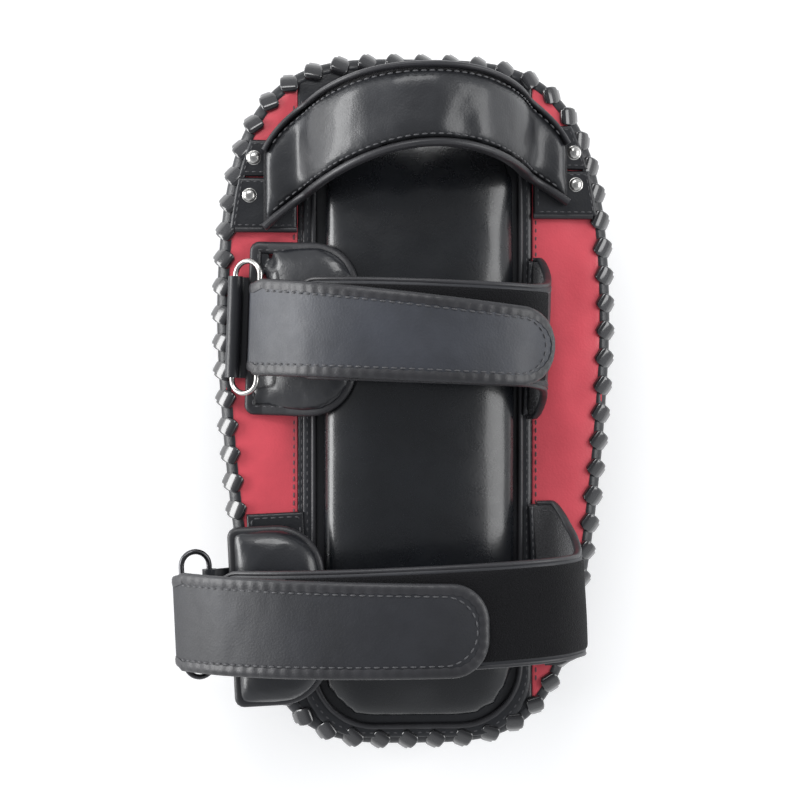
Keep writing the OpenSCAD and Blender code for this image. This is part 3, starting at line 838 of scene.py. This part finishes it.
def handle_body():
    v = span(0, 1, 19)
    dome = rounded(np.minimum(v, 1 - v) * 42, 9)
    s = np.linspace(0, 1, HANDLE_ROWS)[:, None]
    ends = rounded(np.minimum(s, 1 - s) * 220, 7)
    across = 0.06 + 0.88 * v
    obj = slab("handle_pad", handle_points(across, 2.3 + 5.9 * dome * ends), handle_points(across, 2.1))
    inflate(obj, 2.6, 2.6)
    v = points_of(obj.data) / MM
    v[:, 2] += wobble(v * (1, 0.35, 0.5), 15, 0.9, 4.4) + wobble(v, 6, 0.2, 9.4)
    near_grip = (v[:, 1] - handle_edge(v[:, 0], False) - 11) / 6
    v[:, 2] -= 1.8 * np.exp(-(((v[:, 0] - 20) / 8) ** 2) - near_grip**2)
    move_points(obj, v * MM)
    dress(obj, HANDLE, "handle_outer", "handle_foam")
    across = 0.04 + 0.92 * span(0, 1, 11)
    lining = slab("handle_lining_cloth", handle_points(across, 2.4), handle_points(across, 0.2))
    dress(lining, LINING, "handle_lining")


def handle_trim():
    for name, across, lift, rx, ry, node_name in (
        ("handle_far_binding", 0.975, 4.9, 1.7, 4.4, "handle_top_binding"),
        ("handle_grip_welt", 0.035, 5.0, 2.3, 4.7, "handle_grip_piping"),
    ):
        rings = sweep_rings(*handle_run(across, lift), oval(rx, ry, 16, 0.85))
        dress(loft(name, rings), TRIM, node_name)
    runs = []
    for across, lift in ((0.13, 8.6), (0.885, 8.8)):
        path, out = handle_run(across, lift)
        runs.append((path[3:-3], out[3:-3]))
    dress(stitches("handle_stitching", runs), THREAD)


TAB_INSET = 3.2
TAB_SEAM = 2.4


def tabs():
    """Two stitched patches under each end of the handle, tucked under the edge lacing."""
    start = STRIP_HALF_W + 0.5
    for side, sign, seam in (("left", -1, 124.8), ("right", 1, 130)):
        name = f"handle_tab_{side}"
        lo, hi = node_box(name)
        runs = []
        for part, y0, y1 in (("lower", lo[1], seam - 0.3), ("upper", seam + 0.3, hi[1])):
            y = span(y0, y1, 22)[:, None]
            end = half_width(y, TAB_INSET)
            x = span(start, end, 26)
            y = y + 0 * x
            edge = inside(x, start, end, y, y0, y1)
            form = (0.1, 1.2, 2.2, 1.6, (12, 0.3, 1.9))
            dress(plate(f"{name}_{part}", on_back, sign * x, y, edge, *form), BLACK, name)
            y0, y1, inner = y0 + TAB_SEAM, y1 - TAB_SEAM, start + TAB_SEAM
            low, top = (half_width(v, TAB_INSET) - TAB_SEAM for v in (y0, y1))
            p = even([(inner, y0), (low, y0), (top, y1), (inner, y1)], 160, closed=True)
            p = np.column_stack([sign * p[:, 0], p[:, 1], np.full(160, 3.45)])
            runs.append(closed_run(on_back(p)))
        dress(stitches(f"{name}_stitching", runs, 2.6, 1.3, 0.36), THREAD)
        ends = np.array([(start, lo[1], 2.2), (float(half_width(lo[1], 6)), lo[1], 2.2)])
        path = on_back(even(ends, 40) * (sign, 1, 1))
        dress(loft(f"{name}_binding", sweep_rings(path, UP, oval(1.7, 1.9, 12))), TRIM)


def lathe_part(profile, centre):
    count = 28
    a = np.linspace(0, 2 * math.pi, count, endpoint=False)
    rings = np.array([
        np.column_stack([r * np.cos(a), r * np.sin(a), np.full(count, z)]) + centre for r, z in profile
    ])
    return ring_part(rings)


def rivets():
    profile = (
        (1.6, -9.8), (1.6, 3.1), (3.8, 3.2), (4.1, 3.4), (4.1, 3.7), (3.8, 3.95), (3.6, 4.0),
        (3.4, 4.3), (2.9, 4.85), (2.1, 5.3), (1.1, 5.55), (0.2, 5.62),
    )
    points = ((-90.4, 135.3), (-92.8, 114.4), (89.2, 139.7), (90.2, 121.8))
    parts = [lathe_part(profile, np.array([x, y, BACK_Z])) for x, y in points]
    dress(merge("tab_rivet_caps", parts, 40), NICKEL, "tab_rivets")


# ---------------------------------------------------------------- straps
def band(name, group, u, low, high, lo, hi, radius=1.2):
    """Strap layer along u between two edges, with rounded sides and a little waviness."""
    low, high = low[:, None], high[:, None]
    y = span(low, high, 17)
    mid, thick = (lo + hi) / 2, (hi - lo) / 2
    swell = rounded(np.minimum(y - low, high - y), radius)
    wave = wobble(group.at(u[:, None], y, 0), 26, 0.35, 7.7)
    top, bottom = (group.at(u[:, None], y, mid + k * thick * swell + wave) for k in (1, -1))
    return slab(name, top, bottom)


def strap_edges(group, u, root_w, shift):
    """Lower and upper edge of the sewn-down strap: flared at its root, narrowed in its ring."""
    c = curve(group.line, u)
    s = STRAP_W / 2
    share = np.interp(c[:, 1], (5, 9, 16, 25, 35, 46), (0, 0.2, 0.5, 0.75, 0.91, 1))
    near = 4 * smooth((group.line[-2][0] + 24 - c[:, 0]) / 10)
    edges = []
    for side in (-1, 1):
        h = root_w / 2 + side * shift
        edges.append(side * (np.where(c[:, 0] > 40, h - (h - s) * share, s) - near))
    return edges


def strap(tag, group, mat, u_end, root_w, shift, loop_u):
    """Sewn-down strap: face, lining, edging, loop pad and the bar of stitches at its root."""
    u = np.linspace(0, u_end, 110)
    low, high = strap_edges(group, u, root_w, shift)
    outer = band(f"{tag}_strap_face", group, u, low + 0.4, high - 0.4, 0.1, 2.1)
    dress(outer, mat, f"{tag}_strap_outer")
    lining = band(f"{tag}_strap_back", group, u, low + 0.8, high - 0.8, -2.0, -0.1)
    dress(lining, LINING, f"{tag}_strap_lining")
    trims, runs = [], []
    for edge, inward in ((low, 4.2), (high, -4.2)):
        path = group.at(u[6:], edge[6:], 0)
        trims.append(ring_part(sweep_rings(path, group.up(u[6:]), oval(1.4, 2.25, 12, 0.75))))
        runs.append((group.at(u[6:], edge[6:] + inward, 2.05), group.up(u[6:])))
        runs.append((group.at(u[8:], edge[8:] + inward, -2.0), -group.up(u[8:])))
    dress(merge(f"{tag}_strap_edging", trims), TRIM)
    dress(stitches(f"{tag}_strap_stitching", runs), THREAD)
    lu = np.linspace(*loop_u, 70)
    side = np.full(70, STRAP_W / 2 - 2.5)
    loop = band(f"{tag}_loop_pad", group, lu, -side, side, 2.0, 3.2, radius=2)
    dress(loop, LOOP, f"{tag}_loop_patch")
    mid, half = group.line[0][0] + 1.1, root_w / 2 - 1
    root = box_plate(
        f"{tag}_root_bar", group.place, (mid - 1.5, mid + 1.5), (shift - half, shift + half), (9, 25),
        4.4, 4.9, 1.4, 1.2,
    )
    dress(root, BLACK, f"{tag}_strap_root")
    y = shift + np.linspace(1 - half, half - 1, 80)
    line = np.column_stack([np.full(80, mid), y, np.full(80, 6.4)])
    dress(stitches(f"{tag}_root_stitching", [(group.place(line), UP)]), THREAD)


class Tongue:
    """A strap's loose end: lies on the strap, lifts over the ring's bar, and folds round it."""

    def __init__(self, group, ring_u, x_tip, tip_w):
        self.group, self.ring_u, self.tip_w = group, ring_u, tip_w
        fine = np.linspace(1.5, ring_u, 900)
        x = curve(group.line, fine)[:, 0] + self.offset(fine) * line_normal(group.line, fine)[:, 0]
        first = int(np.argmax(x))
        self.fine, self.x = fine[first:], x[first:]
        self.bar = bar_point(group, ring_u)
        self.length = x_tip - self.bar[0]

    def offset(self, u):
        return TONGUE_MID + (BAR_OFF + FOLD_R - TONGUE_MID) * smooth((u - self.ring_u + 4.5) / 4.5)

    def tip(self, inset):
        """Where the round tip starts and ends along the plan, its half width and corner radius."""
        half = self.tip_w / 2 - inset
        radius = min(20, half - 0.5)
        return self.length - inset - radius, self.length - inset, half, radius

    def half(self, a, inset=0.0):
        """Half width at a distance from the ring."""
        start, _, half, r = self.tip(inset)
        corner = half - r + np.sqrt(np.maximum(r * r - np.clip(a - start, 0, r) ** 2, 0))
        return np.where(a > start, corner, np.interp(a, (-25, start), (TONGUE_W / 2 - inset, half)))

    def rows(self, count, inset=0.0):
        """Distances from the ring, tip first, closer together round the tip."""
        start, end, _, r = self.tip(inset)
        tip = end - r * (1 - np.cos(np.radians(np.linspace(0, 90, 26))))
        return np.concatenate([tip, np.linspace(start, 0, count)[1:]])

    def where(self, a, b):
        """Line position and y of a plan point a from the ring and b across."""
        c, s = math.cos(TONGUE_SKEW), math.sin(TONGUE_SKEW)
        x = self.bar[0] + a * c - b * s
        return np.interp(-x, -self.x, self.fine), a * s + b * c

    def at(self, a, b, o):
        u, y = self.where(a, b)
        return self.group.at(u, y, self.offset(u) + o)

    def rim(self, inset, count):
        """Run along one edge, round the tip and back, with its outward directions."""
        a = self.rows(80, inset)
        h = self.half(a, inset)
        b = np.concatenate([-h[::-1], np.linspace(-h[0], h[0], 5)[1:-1], h])
        a = np.concatenate([a[::-1], np.full(3, a[0]), a])
        u, y = self.where(a, b)
        run = even(np.column_stack([self.group.at(u, y, self.offset(u)), u]), count)
        return run[:, :3], self.group.up(run[:, 3])


def fold_path(tongue):
    """Side view of the fold round the bar, from the top of the tongue to its free end below."""
    n = line_normal(tongue.group.line, tongue.ring_u)[0]
    start = math.atan2(n[1], n[0])
    a = start + np.radians(np.linspace(4, 146, 22))
    return tongue.bar + FOLD_R * np.column_stack([np.cos(a), np.sin(a)])


def tongue_piece(tag, group, body, mat, ring_u, x_tip, tip_w, hook_u):
    """Loose strap end with its fold round the ring, bound edge, stitching and hook pad."""
    tongue = Tongue(group, ring_u, x_tip, tip_w)
    a, v = tongue.rows(90, 0.8)[:, None], spread(23)[None]
    b = tongue.half(a, 0.8) * v
    edge = tongue.half(a, 0.8) * (1 - np.abs(v))
    flat = tongue.at(a, b, 0 * b)
    soft = wobble(flat, 24, 0.3, 2.9) + wobble(flat, 7, 0.12, 4.9)
    top = tongue.at(a, b, 1.35 + 0.55 * (1 - np.exp(-edge / 7)) + soft)
    bottom = tongue.at(a, b, -1.6 + 0 * b)
    fold = fold_path(tongue)
    n = tangents(fold)
    n = np.column_stack([n[:, 1], -n[:, 0]])
    far = float(tongue.half(np.array(0.0), 2.9))

    def fold_at(o):
        q = fold + o * n
        return group.place(np.stack(np.broadcast_arrays(q[:, :1], far * v, q[:, 1:]), axis=-1))

    obj = slab(
        f"{tag}_tongue_face",
        np.concatenate([top, fold_at(1.75)]),
        np.concatenate([bottom, fold_at(-1.6)]),
    )
    dress(obj, mat, f"{tag}_tongue", body=body)
    path, up = tongue.rim(0.2, 420)
    ends = [
        group.place(np.column_stack([fold[:, 0], np.full(len(fold), s * (far + 0.6)), fold[:, 1]]))
        for s in (-1, 1)
    ]
    c, s = math.cos(group.yaw), math.sin(group.yaw)
    fold_up = np.column_stack([n[:, 0] * c, n[:, 0] * s, n[:, 1]])
    path = np.vstack([ends[0][::-1], path, ends[1]])
    up = np.vstack([fold_up[::-1], up, fold_up])
    tape = np.array([
        (-5.4, 1.4), (-5.5, 1.9), (-3.6, 2.25), (-1.4, 2.15), (-0.1, 1.3), (0.25, 0), (-0.1, -1.3),
        (-1.2, -1.7), (-4.6, -1.7), (-5.2, -1.4),
    ])
    rings = sweep_rings(path, up, tape)
    pucker = 1 + 0.05 * np.sin(np.arange(len(path)) * 0.9)[:, None, None]
    rings = path[:, None] + (rings - path[:, None]) * pucker
    dress(loft(f"{tag}_tongue_tape", rings), TRIM, f"{tag}_tongue_binding", body=body)
    run, up = tongue.rim(6.6, 520)
    dress(stitches(f"{tag}_tongue_stitching", [(run + up * 2.0, up)], 3.2, 1.6, 0.45), THREAD, body=body)
    u = np.linspace(max(hook_u[0], float(tongue.where(tongue.length - 4, 0)[0])), hook_u[1], 40)
    a = (np.interp(u, tongue.fine, tongue.x) - tongue.bar[0])[:, None] / math.cos(TONGUE_SKEW)
    b = tongue.half(a, 3.4) * spread(13)[None]
    hy = tongue.where(a, b)[1]
    hook = slab(f"{tag}_hook_pad", group.at(u[:, None], hy, 4.6), group.at(u[:, None], hy, 3.55))
    dress(hook, HOOK, f"{tag}_hook_patch", body=body)


def ring(tag, group, body, length, shift, mat, tilt, bar):
    """Wire ring bent to a long loop, with the little bulge of its weld."""
    bend = RING_GAP / 2
    straight = length / 2 - WIRE_R - bend
    end = np.radians(np.linspace(-90, 90, 20))
    top = np.column_stack([-bend * np.sin(end), straight + bend * np.cos(end)])
    path = even(np.vstack([top, -top]), 160, closed=True)
    a = math.radians(tilt)
    x, z = (bar[i] + (path[:, 0] - bend) * f(a) for i, f in ((0, math.cos), (1, math.sin)))
    p = np.stack([x, path[:, 1] + shift, z], axis=-1)
    out = group.place(p + (-math.sin(a), 0, math.cos(a))) - group.place(p)
    weld = 1 + 0.14 * np.exp(-((path[:, 1] - 4) ** 2) / 1.6) * (path[:, 0] > 0)
    section = oval(WIRE_R, WIRE_R, 14)[None] * weld[:, None, None]
    rings = sweep_rings(group.place(p), out, section, closed=True)
    obj = loft(f"{tag}_wire_ring", rings, closed=True)
    dress(obj, mat, f"{tag}_ring", body=body)


def d_plan(x0, x1, half, grow, count):
    """D-shaped plan outline, small corners at x0 and large at x1, pulled in by -grow."""
    left, right = 5.0, 26.0
    pts = []
    for cx, cy, r, k in (
        (x1 - right, half - right, right, 0), (x0 + left, half - left, left, 1),
        (x0 + left, left - half, left, 2), (x1 - right, right - half, right, 3),
    ):
        a = np.radians(np.linspace(0, 90, 12) + 90 * k)
        r = max(r + grow, 0.5)
        pts += [(cx + r * math.cos(v), cy + r * math.sin(v)) for v in a]
    return even(pts, count, closed=True)


def level(table, x):
    """Height at x from rows of x and height."""
    return np.interp(x, *zip(*table))


def guard(tag, group, x0, x1, half, lo, hi, rim):
    """Padded guard under the ring: D in plan, sewn round its edge.

    lo, hi and rim give the heights of its foot, its top and its sewn edge.
    """
    rings = []
    centre = np.array([(x0 + x1) / 2, 0])
    for grow, k in (
        (-2.0, 0.0), (-2.0, 0.3), (-3.0, 0.55), (-7, 0.8), (-13, 0.92), (-20, 0.96), (-25, 0.97),
    ):
        p = d_plan(x0, x1, half, max(grow, -4.4), 160)
        p = centre + (p - centre) * (1 + (grow + 4.4) / 30 if grow < -4.4 else 1)
        foot, top = level(lo, p[:, 0]), level(hi, p[:, 0])
        rings.append(group.place(np.column_stack([p, foot + 0.4 + (top - foot - 0.8) * k])))
    obj = loft(f"{tag}_guard_pad", rings)
    inflate(obj, 2.1, 2.4)
    dress(obj, GUARD, f"{tag}_guard_cover", f"{tag}_guard_foam")

    def edge_run(grow, up):
        p = d_plan(x0, x1, half, grow, 320)
        z = (level(lo, p[:, 0]) + level(rim, p[:, 0])) / 2 + up
        return group.place(np.column_stack([p, z]))

    rings = sweep_rings(edge_run(-3.2, 0), UP, oval(3.4, 2.4, 14, 0.8), closed=True)
    dress(loft(f"{tag}_guard_tape", rings, closed=True), TRIM, f"{tag}_guard_binding")
    dress(stitches(f"{tag}_guard_stitching", [closed_run(edge_run(-4.8, 2.3))]), THREAD)


def anchor(tag, group, profile, half, sleeve, shift, node_name):
    """Leather band that holds the ring: a tail sewn to the body and a sleeve round the bar."""
    a = np.radians(np.linspace(200, -160, 28))
    loop = sleeve + 3.1 * np.column_stack([np.cos(a), np.sin(a)])
    path = even(np.vstack([np.array(profile, float), loop]), 90)
    t = tangents(path)
    n = np.column_stack([-t[:, 1], t[:, 0]])
    y = half * spread(15)[None] + shift

    def side(o):
        q = path + o * n
        return group.place(np.stack(np.broadcast_arrays(q[:, :1], y, q[:, 1:]), axis=-1))

    obj = slab(f"{tag}_ring_anchor", side(0.95), side(-0.95))
    dress(obj, BLACK, node_name)
    runs = []
    for v in (-half + 3, half - 3):
        q = path[: len(path) // 2] + 1.0 * n[: len(path) // 2]
        line = group.place(np.column_stack([q[:, 0], np.full(len(q), v + shift), q[:, 1]]))
        runs.append((line, UP))
    dress(stitches(f"{tag}_anchor_stitching", runs, 2.4, 1.2, 0.35), THREAD)


def anchor_patch(group, x0, x1, y0, y1):
    """Flat leather patch that spreads the lower anchor's pull over the rear panels."""
    form = (0.15, 1.0, 1.4, 1.5, (16, 0.3, 5.2))
    obj = box_plate("lower_anchor_patch", group.place, (x0, x1), (y0, y1), (26, 50), *form)
    dress(obj, BLACK, "lower_anchor_band")
    p = round_box((x1 - x0) / 2 - 2.6, (y1 - y0) / 2 - 2.6, 2, 240) + ((x0 + x1) / 2, (y0 + y1) / 2)
    run = group.place(np.column_stack([p, np.full(240, 2.6)]))
    dress(stitches("lower_patch_stitching", [closed_run(run)]), THREAD)


def bar_point(group, ring_u):
    return curve(group.line, ring_u)[0] + BAR_OFF * line_normal(group.line, ring_u)[0]


def anchor_point(group, ring_u, tilt):
    a = math.radians(tilt)
    return bar_point(group, ring_u) - RING_GAP * np.array([math.cos(a), math.sin(a)])


def upper_group():
    g, tilt, ring_u = UPPER, 30, 11
    a = anchor_point(g, ring_u, tilt)
    tail = [(-93.5, 1.2), (-97, 1.3), (-100.5, 2.6), (a[0] - 2.6, a[1] - 2)]
    anchor("upper", g, tail, 28, a, 0, "upper_anchor_loop")
    ring("upper", g, "upper_ring", 76, 0, NICKEL, tilt, bar_point(g, ring_u))
    guard(
        "upper", g, -94, -34, 48,
        [(-95, 0.3), (-84, 0.3), (-70, 5), (-58, 10.4), (-46, 16), (-32, 22)],
        [(-95, 4.6), (-84, 5.4), (-79, 9.8), (-71, 15.5), (-60, 21.5), (-48, 27.5), (-38, 31), (-32, 30)],
        [(-95, 4.2), (-84, 5), (-70, 10.6), (-58, 16), (-46, 21.4), (-32, 27)],
    )
    # The upper strap face gets the darker strap leather, painted shade.
    strap("upper", g, STRAP_PAINTED_SHADE, 12, 88, 0, (4, 9))
    tongue_piece("upper", g, "upper_strap_end", STRAP, ring_u, 72, 43, (4.25, 7))


def lower_group():
    g, tilt, ring_u = LOWER, 168, 12
    a = anchor_point(g, ring_u, tilt)
    neck = [(-81, 1.5), (-91, 1.8), (-97.5, 5.6), (-104, 7.9), (a[0] + 2, a[1] + 3)]
    anchor("lower", g, neck, 24.5, a, 3, "lower_anchor_band")
    anchor_patch(g, -92, -60, -36, 56)
    ring("lower", g, "lower_ring", 72, 3, NICKEL_DARKER, tilt, bar_point(g, ring_u))
    guard(
        "lower", g, -103, -51, 49.5,
        [(-104, 9), (-74, 9), (-60, 11), (-45, 17)],
        [(-104, 15), (-98, 19), (-88, 22.5), (-74, 24.5), (-62, 26), (-52, 26.5), (-45, 24.5)],
        [(-104, 14), (-74, 14), (-60, 16), (-45, 22)],
    )
    # The lower strap and its tongue get the darker strap leather, painted shade.
    strap("lower", g, STRAP_PAINTED_SHADE, 11.75, 90, 9, (3, 9))
    tongue_piece("lower", g, "lower_strap_end", STRAP_PAINTED_SHADE, ring_u, 32, 49.5, (5.5, 8))


def carried_over():
    """Gives every CAD node that still shows its finish."""
    frame["nodes"]["tab_rivet_washers"].data.materials.clear()
    frame["nodes"]["tab_rivet_washers"].data.materials.append(NICKEL)


# ---------------------------------------------------------------- studio
def floor():
    mat, t, bsdf = material("studio_floor")
    (cloud,) = textures(t, ("Noise", dict(Scale=3.0, Detail=2.0)))
    tone = ramp(t, (0.93, 0.93, 0.93), (0.97, 0.97, 0.97))
    link(t, cloud, "Fac", tone, "Fac")
    link(t, tone, "Color", bsdf, "Base Color")
    bsdf.inputs["Roughness"].default_value = 0.9
    bsdf.inputs["Specular IOR Level"].default_value = 0.1
    bsdf.inputs["Emission Color"].default_value = (1, 1, 1, 1)
    bsdf.inputs["Emission Strength"].default_value = 0.22
    size = 4000
    corners = [(x * size, y * size, -0.2) for x, y in ((-1, -1), (1, -1), (1, 1), (-1, 1))]
    obj = mesh_object("floor", corners, [(0, 1, 2, 3)])
    obj.data.materials.append(mat)


def softbox(name, place, target, wide, high, power):
    light = bpy.data.lights.new(name, "AREA")
    light.shape = "RECTANGLE"
    light.size, light.size_y = wide, high
    light.energy = power
    obj = bpy.data.objects.new(name, light)
    bpy.context.scene.collection.objects.link(obj)
    obj.location = place
    obj.rotation_euler = (Vector(target) - Vector(place)).to_track_quat("-Z", "Y").to_euler()


def studio():
    world = bpy.data.worlds.new("studio")
    bpy.context.scene.world = world
    world.use_nodes = True
    tree = world.node_tree
    where = node(tree, "ShaderNodeTexCoord")
    split = node(tree, "ShaderNodeSeparateXYZ")
    tone = ramp(tree, (0.95, 0.97, 1.0), (0.36, 0.37, 0.39), (0.45, 0.95))
    link(tree, where, "Generated", split, "Vector")
    link(tree, split, "Z", tone, "Fac")
    link(tree, tone, "Color", tree.nodes["Background"], "Color")
    tree.nodes["Background"].inputs["Strength"].default_value = 0.75
    softbox("key_left", (-1.3, 0.15, 0.36), (0, 0, 0.09), 1.3, 0.5, 20)
    softbox("fill_right", (1.2, 0.1, 0.9), (0, 0, 0.08), 1.1, 0.8, 11)
    softbox("top_back", (-0.3, 1.1, 1.3), (0, 0, 0.08), 0.9, 0.5, 9)
    bpy.context.scene.view_settings.view_transform = "Standard"


def camera():
    cam = bpy.data.cameras.new("camera")
    cam.lens = 92.6
    cam.sensor_width = 36
    cam.clip_start, cam.clip_end = 0.05, 20
    obj = bpy.data.objects.new("camera", cam)
    bpy.context.scene.collection.objects.link(obj)
    aim = Vector((-0.0087, 0.0006, BACK_Z * MM))
    obj.location = aim + Vector((-0.0903, 0, 1.15))
    back = (obj.location - aim).normalized()
    side = Vector((0, 1, 0)).cross(back).normalized()
    obj.rotation_euler = Matrix((side, back.cross(side), back)).transposed().to_euler()
    bpy.context.scene.camera = obj


body_shell()
strike_face()
rear_panels()
welt("strike_edge_welt", 6.2, 3.0, 1.6, BLACK)
body_stitching()
edge_binding()
lacing()
forearm_cushion()
cushion_trim()
handle_body()
handle_trim()
tabs()
rivets()
upper_group()
lower_group()
carried_over()
floor()
studio()
camera()
